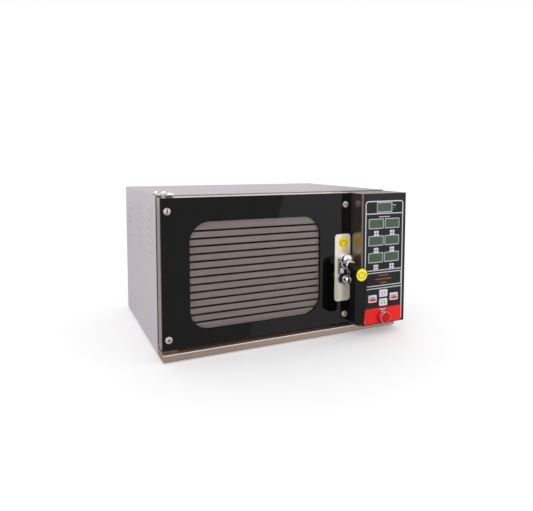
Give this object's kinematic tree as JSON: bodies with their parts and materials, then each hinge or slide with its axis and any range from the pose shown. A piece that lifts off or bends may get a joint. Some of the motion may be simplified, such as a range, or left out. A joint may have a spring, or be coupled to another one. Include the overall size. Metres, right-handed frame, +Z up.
{
  "type": "bench convection reflow oven",
  "caption": "Bench-top forced-air oven with a glass-fronted side-hinged door, lever latch, slatted window and a projecting control box with displays and keys.",
  "frame": {"origin": "centre of the overall box at the surface the feet stand on", "axes": "+X to the oven's right as seen from the front, +Y to the back, +Z up"},
  "size_m": [0.516, 0.464, 0.307],
  "materials": {
    "casing_paint": "fine satin lilac-grey powder coat",
    "brushed_stainless": "brushed stainless sheet",
    "sill_stainless": "brushed stainless, lengthwise grain",
    "pale_stainless": "polished stainless",
    "galvanised_steel": "dull zinc",
    "chrome_plate": "mirror chrome",
    "black_print_glass": "black printed toughened glass with a clear window",
    "clear_glass": "clear toughened glass",
    "black_plastic": "fine textured black",
    "fascia_film": "printed satin membrane film",
    "display_film": "green-grey display filter",
    "white_key": "white key film",
    "red_cap": "clear red cap",
    "seal_rubber": "dull black rubber",
    "board_green": "solder-masked board",
    "sink_aluminium": "extruded aluminium",
    "insulation_wool": "matted mineral wool",
    "sticker_yellow": "printed yellow label"
  },
  "bodies": {
    "oven_body": {"outer_casing": "casing_paint", "rear_panel": "casing_paint", "base_pan": "galvanised_steel", "front_sill": "sill_stainless", "front_frame": "brushed_stainless", "cavity_liner": "brushed_stainless", "insulation_wrap": "insulation_wool", "partition_wall": "galvanised_steel", "control_housing": "brushed_stainless", "control_fascia": "fascia_film", "main_display": "display_film", "timer_displays": "display_film", "control_board": "board_green", "power_button_bezel": "chrome_plate", "rack_guide_left": "brushed_stainless", "rack_guide_right": "brushed_stainless", "fan_baffle": "brushed_stainless", "heating_element": "galvanised_steel", "temperature_probe": "brushed_stainless", "fan_motor": "galvanised_steel", "relay_heatsink": "sink_aluminium", "mains_inlet": "black_plastic", "cooling_fan_frame": "black_plastic", "hinge_bracket_top": "pale_stainless", "hinge_pin_top": "pale_stainless", "hinge_bracket_bottom": "pale_stainless", "latch_strike": "pale_stainless", "foot_1": "seal_rubber", "foot_2": "seal_rubber", "foot_3": "seal_rubber", "foot_4": "seal_rubber"},
    "door": {"door_shell": "brushed_stainless", "door_glass_outer": "black_print_glass", "window_grille": "brushed_stainless", "door_glass_inner": "clear_glass", "door_seal": "seal_rubber", "door_screw_1": "pale_stainless", "door_screw_2": "pale_stainless", "door_screw_3": "pale_stainless", "door_screw_4": "pale_stainless", "latch_plate": "pale_stainless", "latch_escutcheon": "pale_stainless", "latch_stud": "chrome_plate"},
    "handle": {"handle_hub": "chrome_plate", "handle_grip": "black_plastic", "latch_cam": "galvanised_steel"},
    "fan_wheel": {"fan_wheel": "galvanised_steel"},
    "cooling_fan_rotor": {"cooling_fan_rotor": "black_plastic"},
    "wire_rack": {"wire_rack": "chrome_plate"},
    "key_left": {"key_left": "white_key"},
    "key_right": {"key_right": "white_key"},
    "key_up": {"key_up": "white_key"},
    "key_down": {"key_down": "white_key"},
    "timer_key_1": {"timer_key_1": "white_key"},
    "timer_key_2": {"timer_key_2": "white_key"},
    "timer_key_3": {"timer_key_3": "white_key"},
    "timer_key_4": {"timer_key_4": "white_key"},
    "timer_key_5": {"timer_key_5": "white_key"},
    "timer_key_6": {"timer_key_6": "white_key"},
    "power_button": {"power_button": "red_cap"}
  },
  "joints": [
    {"name": "door_swing", "type": "hinge", "parent": "oven_body", "child": "door", "pos_m": [-0.245, -0.15, 0.16], "axis": [0, 0, -1], "range_deg": [0, 110]},
    {"name": "handle_turn", "type": "hinge", "parent": "door", "child": "handle", "pos_m": [0.1215, -0.186, 0.1615], "axis": [0, 1, 0], "range_deg": [0, 90]},
    {"name": "fan_spin", "type": "hinge", "parent": "oven_body", "child": "fan_wheel", "pos_m": [-0.0625, 0.166, 0.1575], "axis": [0, 1, 0], "continuous": true},
    {"name": "cooling_fan_spin", "type": "hinge", "parent": "oven_body", "child": "cooling_fan_rotor", "pos_m": [0.198, 0.214, 0.215], "axis": [0, 1, 0], "continuous": true},
    {"name": "rack_slide", "type": "slide", "parent": "oven_body", "child": "wire_rack", "axis": [0, -1, 0], "range_m": [0, 0.02]},
    {"name": "key_left_press", "type": "slide", "parent": "oven_body", "child": "key_left", "axis": [0, 1, 0], "range_m": [0, 0.001], "stiffness_N_per_m": 500},
    {"name": "key_right_press", "type": "slide", "parent": "oven_body", "child": "key_right", "axis": [0, 1, 0], "range_m": [0, 0.001], "stiffness_N_per_m": 500},
    {"name": "key_up_press", "type": "slide", "parent": "oven_body", "child": "key_up", "axis": [0, 1, 0], "range_m": [0, 0.001], "stiffness_N_per_m": 500},
    {"name": "key_down_press", "type": "slide", "parent": "oven_body", "child": "key_down", "axis": [0, 1, 0], "range_m": [0, 0.001], "stiffness_N_per_m": 500},
    {"name": "timer_key_1_press", "type": "slide", "parent": "oven_body", "child": "timer_key_1", "axis": [0, 1, 0], "range_m": [0, 0.0008], "stiffness_N_per_m": 500},
    {"name": "timer_key_2_press", "type": "slide", "parent": "oven_body", "child": "timer_key_2", "axis": [0, 1, 0], "range_m": [0, 0.0008], "stiffness_N_per_m": 500},
    {"name": "timer_key_3_press", "type": "slide", "parent": "oven_body", "child": "timer_key_3", "axis": [0, 1, 0], "range_m": [0, 0.0008], "stiffness_N_per_m": 500},
    {"name": "timer_key_4_press", "type": "slide", "parent": "oven_body", "child": "timer_key_4", "axis": [0, 1, 0], "range_m": [0, 0.0008], "stiffness_N_per_m": 500},
    {"name": "timer_key_5_press", "type": "slide", "parent": "oven_body", "child": "timer_key_5", "axis": [0, 1, 0], "range_m": [0, 0.0008], "stiffness_N_per_m": 500},
    {"name": "timer_key_6_press", "type": "slide", "parent": "oven_body", "child": "timer_key_6", "axis": [0, 1, 0], "range_m": [0, 0.0008], "stiffness_N_per_m": 500},
    {"name": "power_button_press", "type": "slide", "parent": "oven_body", "child": "power_button", "axis": [0, 1, 0], "range_m": [0, 0.003], "stiffness_N_per_m": 600}
  ]
}
